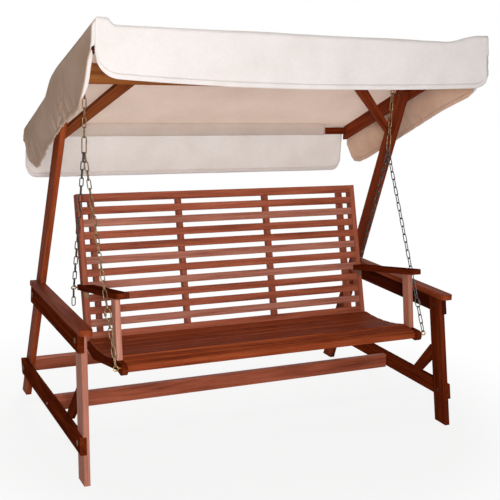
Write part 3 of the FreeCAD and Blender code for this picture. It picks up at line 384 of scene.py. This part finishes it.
# one cream canvas in copies: the side valances get a darker, warmer copy as painted shade; the front and
# rear valances, their hems, the turned returns and the corner bindings get paler copies as painted light
clothRoof = makeCanvas("cream canvas roof, light comes through", "#f3e6dd", "#eddfd5", clear=0.42)
clothShadedCopy = makeCanvas("cream polyester canvas", "#e8c8b1", "#dbb69c")
clothLitRearCopy = makeCanvas("cream canvas, bleached and thin", "#f7f3f0", "#f2ece8", clear=0.50)
clothLitCopy = makeCanvas("cream canvas, bleached by the sun", "#f8f1ee", "#f2eae6")
threadLook = makeCanvas("cream sewing thread", "#dccbb8", "#d2c0ac", 0.05)

canopy = {
    "halfWidth": 0.990, "frontY": -0.651, "rearY": 0.588,
    "railTop": 1.7298, "railSlope": 0.451,
    "midFrontZ": 1.9915, "frontTilt": 0.0045, "midRearZ": 1.475,
    "beamY": -0.060, "beamZ": 1.8290, "beamBackY": -0.028, "beamBackZ": 1.8160,   # the beam's upper edges
    "sagFront": 0.010, "sagRear": 0.014,
    "tentRun": 0.165,          # so far behind the beam the cloth comes down to the side rails
    "tentEdge": (0.945, 0.990), "tentLoss": 0.38,      # at the very edge this share of the lift is lost
    "rise": {"left": (0.902, 0.935), "right": (0.720, 0.920)},   # here the cloth climbs on to the side rails
    "shoulderFrom": 0.968, "shoulderFront": {"left": 0.022, "right": 0.040}, "shoulderRear": 0.036,
    "shoulderTurn": (0.02, 0.13),
    "rearTuck": 0.010, "rearTuckRange": (0.35, 0.585), "frontTuck": 0.019, "frontTuckRange": (-0.62, -0.40),
    "peakX": 0.971, "peakHeight": 0.002, "peakWidth": 0.012, "peakRange": (-0.60, -0.45),
    "slack": 0.0022, "slackRates": (9.1, 3.7, 8.3, 0.6),
    "slackEdge": (0.7, 0.88), "slackFromBeam": (0.03, 0.12),
    "columns": 150, "rows": 96, "thickness": 0.0018, "seamInset": 0.007, "seamLift": 0.0004,
}


def roofHalf(y, sign):
    # half the width at one side; the right front corner and both rear corners are drawn in
    tuck = canopy["rearTuck"] * smooth(*canopy["rearTuckRange"], y)
    if sign > 0:
        tuck += canopy["frontTuck"] * (1 - smooth(*canopy["frontTuckRange"], y))
    return canopy["halfWidth"] - tuck


def railLine(y):
    return canopy["railTop"] - canopy["railSlope"] * y


def tentLift(y):
    # stretched straight between the front rail and the beam; behind the beam it sinks to the side rail
    c = canopy
    full = c["beamZ"] - railLine(c["beamY"])
    if y < c["beamY"]:
        return full * (y - c["frontY"]) / (c["beamY"] - c["frontY"])
    return full * (1 - smooth(c["beamBackY"], c["beamBackY"] + c["tentRun"], y))


def middleHeight(x, y):
    # the roof's line from the front rail over the beam to the rear rail, away from the side rails
    c = canopy
    if y < c["beamY"]:
        t = (y - c["frontY"]) / (c["beamY"] - c["frontY"])
        front = c["midFrontZ"] - c["frontTilt"] * x
        return blend(front, c["beamZ"], t) - c["sagFront"] * math.sin(math.pi * t)
    if y < c["beamBackY"]:
        return blend(c["beamZ"], c["beamBackZ"], (y - c["beamY"]) / (c["beamBackY"] - c["beamY"]))
    t = (y - c["beamBackY"]) / (c["rearY"] - c["beamBackY"])
    return blend(c["beamBackZ"], c["midRearZ"], t) - c["sagRear"] * math.sin(math.pi * t)


def roofHeight(x, y):
    c = canopy
    side = "left" if x < 0 else "right"
    reach = abs(x)
    lift = tentLift(y) * (1 - c["tentLoss"] * smooth(*c["tentEdge"], reach))
    peak = c["peakHeight"] * math.exp(-((reach - c["peakX"]) / c["peakWidth"]) ** 2)
    peak *= 1 - smooth(*c["peakRange"], y)
    shoulder = max(0, reach - c["shoulderFrom"]) / (c["halfWidth"] - c["shoulderFrom"])
    fall = blend(c["shoulderFront"][side], c["shoulderRear"], smooth(*c["shoulderTurn"], y))
    edge = railLine(y) + lift + peak - fall * shoulder ** 2
    return blend(middleHeight(x, y), edge, smooth(*c["rise"][side], reach))


def roofPoint(x, y):
    return Vector((x, y, roofHeight(x, y)))


def sideEdge(y, sign):
    return roofPoint(sign * roofHalf(y, sign), y)


def clothObject(name, rows, material, thickness, offset=0):
    count = len(rows[0])
    faces = []
    for i in range(len(rows) - 1):
        for j in range(count - 1):
            first = i * count + j
            faces.append((first, first + 1, first + count + 1, first + count))
    mesh = bpy.data.meshes.new(name)
    mesh.from_pydata([point for row in rows for point in row], [], faces)
    mesh.materials.append(material)
    for polygon in mesh.polygons:
        polygon.use_smooth = True
    cloth = newObject(name, mesh)
    solid = cloth.modifiers.new("thickness", "SOLIDIFY")
    solid.thickness = thickness
    solid.offset = offset
    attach(cloth, "stand")
    return cloth


def roofSlack(x, y):
    # faint slack between the beam and the cross rails
    across, slant, along, start = canopy["slackRates"]
    wave = math.sin(x * across + y * slant) * math.sin(y * along + start)
    inside = 1 - smooth(*canopy["slackEdge"], abs(x))
    return canopy["slack"] * wave * inside * smooth(*canopy["slackFromBeam"], abs(y - canopy["beamY"]))


def makeRoof():
    c = canopy
    rows = []
    for y in spaced(c["frontY"], c["rearY"], c["rows"]):
        row = []
        for share in spaced(-1, 1, c["columns"]):
            x = share * roofHalf(y, share)
            row.append(roofPoint(x, y) + Vector((0, 0, roofSlack(x, y))))
        rows.append(row)
    roof = clothObject("roof_cloth", rows, clothRoof, c["thickness"], 1)
    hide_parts("canopy_roof")
    inset = c["seamInset"]
    up = Vector((0, 0, c["thickness"] + c["seamLift"]))
    frontSeam, rearSeam = c["frontY"] + inset, c["rearY"] - inset
    lines = []
    for y in (frontSeam, rearSeam):
        across = spaced(inset - roofHalf(y, -1), roofHalf(y, 1) - inset, c["columns"])
        lines.append([roofPoint(x, y) + up for x in across])
    for sign in (-1, 1):
        lines.append([roofPoint(sign * (roofHalf(y, sign) - inset), y) + up
                      for y in spaced(frontSeam, rearSeam, c["rows"])])
    return lines


# a pocket sewn under the roof's rear edge holds the rear cross rail; the rail shows only at its right end

sleeve = {
    "leftX": -0.930, "rightX": 0.805, "columns": 110,
    "frontY": 0.5500, "rearY": 0.5820, "bottomZ": 1.4236, "railTop": 1.464,
    "corner": 0.0040, "cornerCut": 0.3, "slack": 0.0007, "slackRates": (21, 0.8, 57), "thickness": 0.0012,
    "tab": (0.0012, 0.0014),      # how far outside the pocket and under the roof its sewn edges lie
}


def makeSleeve():
    s = sleeve
    xs = spaced(s["leftX"], s["rightX"], s["columns"])
    low, corner = s["bottomZ"], s["corner"]
    cut = s["cornerCut"] * corner
    half = (s["railTop"] + low) / 2
    profile = [(s["frontY"], s["railTop"]), (s["frontY"], half), (s["frontY"], low + corner),
               (s["frontY"] + cut, low + cut), (s["frontY"] + corner, low),
               (s["rearY"] - corner, low), (s["rearY"] - cut, low + cut),
               (s["rearY"], low + corner), (s["rearY"], half), (s["rearY"], s["railTop"])]
    out, under = s["tab"]
    long, start, short = s["slackRates"]

    def sewnEdge(y):
        return [Vector((x, y, roofHeight(x, y) - under)) for x in xs]

    rows = [sewnEdge(s["frontY"] - out)]
    for y, z in profile:
        facing = -1 if y < (s["frontY"] + s["rearY"]) / 2 else 1
        row = []
        for x in xs:
            slack = s["slack"] * (1 + math.sin(x * long + start) * math.sin(x * short))
            row.append(Vector((x, y + facing * slack, z - slack)))
        rows.append(row)
    rows.append(sewnEdge(s["rearY"] + out))
    pocket = clothObject("rear_rail_pocket", rows, clothRoof, s["thickness"])


# a valance: a line along the roof's edge, a drop at each place and a push outwards that grows downwards
# a wave is its height, radians a metre and start; an uneven one has a sway and the sway's radians a metre

valances = {
    "front": {"halfWidth": 0.983, "straight": {"left": 0.874, "right": 0.915}, "midZ": 1.758,
              "cornerZ": {"left": 1.784, "right": 1.776}, "columns": 180, "rows": 14, "reach": 0.008,
              "waves": ((0.0022, 15, 0.4), (0.0012, 37, 1.9)), "curl": 0.004, "curlRange": (0.80, 0.98),
              "splay": 0.026, "splayRange": (0.86, 0.96)},
    "rear": {"leftX": -0.972, "rightX": 0.950, "corner": 0.060, "bottomZ": 1.203, "columns": 140, "rows": 12,
             "reach": 0.006, "waves": ((0.0022, 13, 2.1), (0.0010, 31, 0))},
    "side": {"frontY": -0.648, "rearY": 0.584, "columns": 230, "rows": 44, "reach": 0.0042,
             "folds": {"right": 0.4, "left": 1.25}, "foldRange": (0.1, 0.95),
             "gatherRange": (-0.35, 0.15), "easeRange": (0.48, 0.58), "ease": 0.6,
             "wideGather": (0.0026, 64, 1.5, 11), "slowWaves": ((0.0022, 23, 0.7),),
             "narrowGather": (0.0021, 150, 2, 17), "narrowRange": (0.25, 0.8),
             "flare": 0.011, "flareRange": (-0.648, -0.40), "flareDrop": (0.10, 0.26), "splayDrop": 0.26,
             "crease": 0.006, "creaseY": -0.28, "creaseSlant": 0.13, "creaseWidth": 0.014,
             "creaseRange": (0.35, 0.7),
             "cut": {      # the lower edge: how far back, how far below the line of the rail
                 "left": (
                     (-0.648, 0.128), (-0.620, 0.145), (-0.592, 0.178), (-0.572, 0.222), (-0.545, 0.260),
                     (-0.512, 0.291), (-0.485, 0.297), (-0.43, 0.292), (-0.35, 0.283), (-0.20, 0.276),
                     (-0.08, 0.284), (0.02, 0.288), (0.10, 0.302), (0.19, 0.316), (0.225, 0.320),
                     (0.262, 0.309), (0.30, 0.287), (0.388, 0.238), (0.452, 0.188),
                     (0.486, 0.148), (0.53, 0.098), (0.584, 0.070)),
                 "right": (
                     (-0.648, 0.128), (-0.620, 0.150), (-0.590, 0.190), (-0.55, 0.222), (-0.50, 0.236),
                     (-0.30, 0.232), (0.10, 0.252), (0.36, 0.262), (0.44, 0.258), (0.490, 0.238),
                     (0.520, 0.205), (0.545, 0.165), (0.584, 0.105))}},
    "proud": 0.0014,          # how far outside the roof's edge a valance is sewn on
    "hemHeight": 0.024, "hemThickness": 0.0009, "hemRows": 3, "hemSeam": 0.004, "seamLift": 0.0003,
    "spare": 0.002,           # added to the flat length
    "returnReach": 0.118, "returnWidth": 0.015, "returnThickness": 0.0014, "returnSteps": 4,
    "returnLean": 0.002, "returnOff": (0.0012, 0.0014, 0.0004),
    "returnTaper": ((0, 0.18), (0.7, 1)), "returnLeast": 0.25,
}


def waveSum(waves, place):
    return sum(height * math.sin(place * rate + start) for height, rate, start in waves)


def unevenWave(wave, place):
    height, rate, sway, swayRate = wave
    return height * math.sin(place * rate + sway * math.sin(place * swayRate))


def cornerRise(into, radius):
    into = min(radius, max(0, into))
    return radius - math.sqrt(radius * radius - into * into)


def hangPoint(top, drop, down, push):
    return top + Vector((0, 0, -down)) + push(top, min(1, down / drop), drop)


def gridRows(tops, drops, push, rowCount):
    rows = []
    for share in spaced(0, 1, rowCount):
        rows.append([top + Vector((0, 0, -drop * share)) + push(top, share, drop)
                     for top, drop in zip(tops, drops)])
    return rows


def hemStrip(name, tops, drops, push, material):
    # a doubled strip along the lower edge, standing just proud of the cloth on both sides
    rows = []
    for up in spaced(valances["hemHeight"], 0, valances["hemRows"]):
        rows.append([hangPoint(top, drop, drop - up, push) for top, drop in zip(tops, drops)])
    return clothObject(name, rows, material, canopy["thickness"] + 2 * valances["hemThickness"])


def hemStitches(tops, drops, push, outward):
    lines = []
    up = valances["hemHeight"] - valances["hemSeam"]
    off = canopy["thickness"] / 2 + valances["hemThickness"] + valances["seamLift"]
    for side in (off, -off):
        lines.append([hangPoint(top, drop, drop - up, push) + outward * side
                      for top, drop in zip(tops, drops)])
    return lines


def frontPush(top, share, drop):
    front = valances["front"]
    curl = front["curl"] * smooth(*front["curlRange"], abs(top.x))
    splay = front["splay"] * smooth(*front["splayRange"], top.x) * share
    return Vector((splay, -(front["reach"] + waveSum(front["waves"], top.x) - curl) * share, 0))


def rearPush(top, share, drop):
    rear = valances["rear"]
    return Vector((0, (rear["reach"] + waveSum(rear["waves"], top.x)) * share, 0))


def sidePush(top, share, drop):
    # gathers of uneven width towards the rear, short ones that slant up and to the front from the hem
    s = valances["side"]
    y = top.y + share * drop
    gathered = smooth(*s["gatherRange"], y) * (1 - s["ease"] * smooth(*s["easeRange"], y))
    narrow = unevenWave(s["narrowGather"], y) * smooth(*s["narrowRange"], share)
    folds = (unevenWave(s["wideGather"], y) + narrow) * gathered
    folds += waveSum(s["slowWaves"], y) * (1 - gathered)
    folds *= s["folds"]["left" if top.x < 0 else "right"] * smooth(*s["foldRange"], share)
    out = s["reach"] * share + folds
    out += s["flare"] * (1 - smooth(*s["flareRange"], top.y)) * smooth(*s["flareDrop"], share * drop)
    if top.x < 0:
        # one long crease falls slantwise from under the beam's end to the front of the hem
        away = (top.y - s["creaseSlant"] * share - s["creaseY"]) / s["creaseWidth"]
        out -= s["crease"] * math.exp(-away ** 2) * smooth(*s["creaseRange"], share)
    else:
        # the right front corner stands out with the front valance
        out += (valances["front"]["splay"] * share * drop / s["splayDrop"]
                * (1 - smooth(*canopy["frontTuckRange"], top.y)))
    return Vector((math.copysign(out, top.x), 0, 0))


def sideDrop(y, label):
    cut = valances["side"]["cut"][label]
    below = cut[-1][1]
    for (y0, low), (y1, high) in zip(cut, cut[1:]):
        if y <= y1:
            below = low + (high - low) * (y - y0) / (y1 - y0)
            break
    return sideEdge(y, -1 if label == "left" else 1).z + canopy["thickness"] - railLine(y) + below


def makeValance(name, replaced, edge, rowCount, materials):
    # edge: the top line, the drops below it and the push outwards; materials: the cloth's and the hem's
    tops, drops, push = edge
    rows = gridRows(tops, drops, push, rowCount)
    cloth = clothObject(name, rows, materials[0], canopy["thickness"])
    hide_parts(replaced)
    hem = hemStrip(name + "_hem", tops, drops, push, materials[1])


def makeFrontValance():
    front = valances["front"]
    tops, drops = [], []
    for x in spaced(-front["halfWidth"], front["halfWidth"], front["columns"]):
        side = "left" if x < 0 else "right"
        straight = front["straight"][side]
        tucked = x * roofHalf(canopy["frontY"], x) / canopy["halfWidth"]
        top = roofPoint(tucked, canopy["frontY"]) + Vector((0, -valances["proud"], canopy["thickness"]))
        bottom = blend(front["midZ"], front["cornerZ"][side], min(1, abs(x) / straight) ** 2)
        bottom += cornerRise(abs(x) - straight, front["halfWidth"] - straight)
        tops.append(top)
        drops.append(top.z - bottom)
    makeValance("front_valance_cloth", "front_valance", (tops, drops, frontPush), front["rows"],
                (clothLitCopy, clothLitCopy))
    return hemStitches(tops, drops, frontPush, Vector((0, -1, 0)))


def makeRearValance():
    rear = valances["rear"]
    tops, drops = [], []
    for x in spaced(rear["leftX"], rear["rightX"], rear["columns"]):
        top = roofPoint(x, canopy["rearY"]) + Vector((0, valances["proud"], canopy["thickness"]))
        fromEnd = min(x - rear["leftX"], rear["rightX"] - x)
        tops.append(top)
        drops.append(top.z - rear["bottomZ"] - cornerRise(rear["corner"] - fromEnd, rear["corner"]))
    makeValance("rear_valance_cloth", "rear_valance", (tops, drops, rearPush), rear["rows"],
                (clothLitRearCopy, clothLitCopy))
    return hemStitches(tops, drops, rearPush, Vector((0, 1, 0)))


def returnHem(name, rows, sign):
    # the side valance's front edge is turned in and faces forward below the sewn corner
    v = valances
    edge = [point for point in rows[-1] if point.y < v["side"]["frontY"] + v["returnReach"]]
    inOff, frontOff, upOff = v["returnOff"]
    rising, falling = v["returnTaper"]
    strip = []
    for across in spaced(0, 1, v["returnSteps"]):
        line = []
        for index, point in enumerate(edge):
            taper = smooth(*rising, index / len(edge)) * (1 - smooth(*falling, index / len(edge)))
            inward = v["returnWidth"] * across * blend(v["returnLeast"], 1, taper)
            forward = frontOff + v["returnLean"] * across
            line.append(point + Vector((-sign * (inward + inOff), -forward, upOff)))
        strip.append(line)
    return clothObject(name, strip, clothLitCopy, v["returnThickness"])


def makeSideValance(label, sign):
    side = valances["side"]
    tops, drops = [], []
    for y in spaced(side["frontY"], side["rearY"], side["columns"]):
        tops.append(sideEdge(y, sign) + Vector((sign * valances["proud"], 0, canopy["thickness"])))
        drops.append(sideDrop(y, label))
    turned = returnHem("side_valance_return_" + label, gridRows(tops, drops, sidePush, 1), sign)
    makeValance("side_valance_cloth_" + label, "side_valance_" + label, (tops, drops, sidePush),
                side["rows"], (clothShadedCopy, clothShadedCopy))
    return hemStitches(tops, drops, sidePush, Vector((sign, 0, 0)))


# a bias strip sewn round each corner where the front and side valances meet

binding = {
    "top": 0.003, "bottom": 0.094, "steps": 8,
    "insets": (0.010, 0.008, 0.006, 0.003),             # points across the front, up to the corner
    "backs": (-0.6475, -0.645, -0.642, -0.639),         # points along the side, from the corner backwards
    "frontOff": 0.0030, "sideOff": 0.0034, "round": 0.75, "frontDrop": 0.24,
    "seamInset": 0.003, "seamLift": 0.0010, "thickness": 0.0012,
}


def makeBinding(label, sign):
    b = binding
    frontY = canopy["frontY"]
    rows, stitches = [], [[], []]
    for down in spaced(b["top"], b["bottom"], b["steps"]):
        row = []
        for inset in b["insets"]:
            top = roofPoint(sign * (roofHalf(frontY, sign) - inset), frontY)
            lean = frontPush(top, down / b["frontDrop"], b["frontDrop"])
            row.append(Vector((top.x + lean.x, frontY - b["frontOff"] + lean.y, top.z - down)))
        for y in b["backs"]:
            top = sideEdge(y, sign)
            drop = sideDrop(y, label)
            out = abs(sidePush(top, min(1, down / drop), drop).x)
            row.append(Vector((top.x + sign * (b["sideOff"] + out), y, top.z - down)))
        place = len(b["insets"])
        front, back = row[place - 1], row[place]
        cornerX = blend(front.x, back.x, b["round"])
        cornerY = blend(back.y, front.y, b["round"])
        row.insert(place, Vector((cornerX, cornerY, (front.z + back.z) / 2)))
        rows.append(row)
        stitches[0].append(row[0] + Vector((sign * b["seamInset"], -b["seamLift"], 0)))
        stitches[1].append(row[-1] + Vector((sign * b["seamLift"], -b["seamInset"], 0)))
    strip = clothObject("corner_binding_" + label, rows, clothLitCopy, b["thickness"])
    return stitches


# sewing thread: short stitches set along every seam line

stitchLook = {
    "Spacing": 0.0075, "Stitch Length": 0.0046, "Thread Radius": 0.0006, "Sides": 6, "Thread": threadLook,
}


def stitchTree():
    tree = bpy.data.node_groups.new("stitches along seams", "GeometryNodeTree")
    kinds = {"Geometry": "Geometry", "Spacing": "Float", "Stitch Length": "Float", "Thread Radius": "Float",
             "Sides": "Int", "Thread": "Material"}
    for name, kind in kinds.items():
        tree.interface.new_socket(name, in_out="INPUT", socket_type="NodeSocket" + kind)
    tree.interface.new_socket("Geometry", in_out="OUTPUT", socket_type="NodeSocketGeometry")
    given = addNode(tree, "NodeGroupInput").outputs
    curve = addNode(tree, "GeometryNodeMeshToCurve", links={"Mesh": given["Geometry"]})
    points = addNode(tree, "GeometryNodeCurveToPoints", {"mode": "LENGTH"},
                     links={"Curve": curve.outputs["Curve"], "Length": given["Spacing"]})
    turned = addNode(tree, "FunctionNodeAlignRotationToVector", {"axis": "Z"},
                     links={"Vector": points.outputs["Tangent"]})
    stitch = addNode(tree, "GeometryNodeMeshCylinder", links={
        "Vertices": given["Sides"], "Radius": given["Thread Radius"], "Depth": given["Stitch Length"]})
    placed = addNode(tree, "GeometryNodeInstanceOnPoints", links={
        "Points": points.outputs["Points"], "Instance": stitch.outputs["Mesh"],
        "Rotation": turned.outputs["Rotation"]})
    solid = addNode(tree, "GeometryNodeRealizeInstances", links={"Geometry": placed.outputs["Instances"]})
    dressed = addNode(tree, "GeometryNodeSetMaterial",
                      links={"Geometry": solid.outputs["Geometry"], "Material": given["Thread"]})
    addNode(tree, "NodeGroupOutput", links={"Geometry": dressed.outputs["Geometry"]})
    return tree


def makeStitches(lines):
    points, edges = [], []
    for line in lines:
        first = len(points)
        points += line
        edges += [(i, i + 1) for i in range(first, len(points) - 1)]
    path = bpy.data.meshes.new("seam lines")
    path.from_pydata(points, edges, [])
    holder = newObject("seam lines", path)
    modifier = holder.modifiers.new("stitches", "NODES")
    modifier.node_group = stitchTree()
    for item in modifier.node_group.interface.items_tree:
        if item.in_out == "INPUT" and item.name in stitchLook:
            modifier[item.identifier] = stitchLook[item.name]
    mesh = bpy.data.meshes.new_from_object(holder.evaluated_get(bpy.context.evaluated_depsgraph_get()))
    mesh.name = "canopy_stitches"
    bpy.data.objects.remove(holder)
    stitches = newObject("canopy_stitches", mesh)
    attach(stitches, "stand")
    print("stage: stitches,", len(mesh.polygons), "faces")


seamLines = makeRoof()
makeSleeve()
seamLines += makeFrontValance()
seamLines += makeRearValance()
for label, sign in (("right", 1), ("left", -1)):
    seamLines += makeSideValance(label, sign)
    seamLines += makeBinding(label, sign)
makeStitches(seamLines)
print("stage: cloth")


# floor and light: a pale floor that runs on into white, a soft key just behind the camera,
# a wide lamp above and a weak sky

studio = {
    "floor": "#eceae8", "floorReach": 60, "sky": 0.14,
    "nearGlow": 0.86, "nearReach": 1.1, "farReach": 2.0,   # the floor is plain white beyond 2.0 m
    "key": {"place": (-2.0, -5.1, 2.05), "size": 1.3, "power": 196},
    "top": {"place": (0.2, 2.0, 4.6), "size": 2.6, "power": 105},
    "aim": (0, -0.1, 1.0),
}
plainWhite = (1, 1, 1, 1)


def makeFloor():
    mesh = bpy.data.meshes.new("floor")
    reach = studio["floorReach"]
    corners = [(-reach, -reach, 0), (reach, -reach, 0), (reach, reach, 0), (-reach, reach, 0)]
    mesh.from_pydata(corners, [], [(0, 1, 2, 3)])
    floor = newObject("floor", mesh)
    material, tree = newMaterial("pale studio floor")
    place = addNode(tree, "ShaderNodeTexCoord").outputs["Object"]
    away = addNode(tree, "ShaderNodeVectorMath", {"operation": "LENGTH"}, links={0: place}).outputs["Value"]
    reaches = (studio["nearReach"], studio["farReach"])
    glow = addRange(tree, away, reaches, (studio["nearGlow"], 1.0), "SMOOTHSTEP")
    share = addMath(tree, "MULTIPLY", glow, addNode(tree, "ShaderNodeLightPath").outputs["Is Camera Ray"])
    diffuse = addNode(tree, "ShaderNodeBsdfDiffuse", inputs={"Color": hexLinear(studio["floor"])})
    white = addNode(tree, "ShaderNodeEmission", inputs={"Color": plainWhite, "Strength": 1.0})
    both = addNode(tree, "ShaderNodeMixShader",
                   links={"Fac": share, 1: diffuse.outputs[0], 2: white.outputs[0]})
    addNode(tree, "ShaderNodeOutputMaterial", links={"Surface": both.outputs[0]})
    mesh.materials.append(material)


def makeWorld():
    world = bpy.data.worlds.new("studio")
    world.use_nodes = True
    tree = world.node_tree
    tree.nodes.clear()
    path = addNode(tree, "ShaderNodeLightPath").outputs
    mirrored = addMath(tree, "MAXIMUM", path["Is Glossy Ray"], path["Is Transmission Ray"])
    seen = addMath(tree, "MAXIMUM", path["Is Camera Ray"], mirrored)
    sky = addNode(tree, "ShaderNodeBackground", inputs={"Color": plainWhite, "Strength": studio["sky"]})
    white = addNode(tree, "ShaderNodeBackground", inputs={"Color": plainWhite, "Strength": 1.0})
    mix = addNode(tree, "ShaderNodeMixShader", links={"Fac": seen, 1: sky.outputs[0], 2: white.outputs[0]})
    addNode(tree, "ShaderNodeOutputWorld", links={"Surface": mix.outputs[0]})
    bpy.context.scene.world = world


def makeLamp(name):
    settings = studio[name]
    data = bpy.data.lights.new(name, "AREA")
    data.shape = "DISK"
    data.size = settings["size"]
    data.energy = settings["power"]
    lamp = newObject(name, data)
    lamp.location = settings["place"]
    toAim = Vector(studio["aim"]) - Vector(settings["place"])
    lamp.rotation_euler = toAim.to_track_quat("-Z", "Y").to_euler()


makeFloor()
makeWorld()
for name in ("key", "top"):
    makeLamp(name)
bpy.context.scene.view_settings.view_transform = "Standard"
print("stage: floor and light")
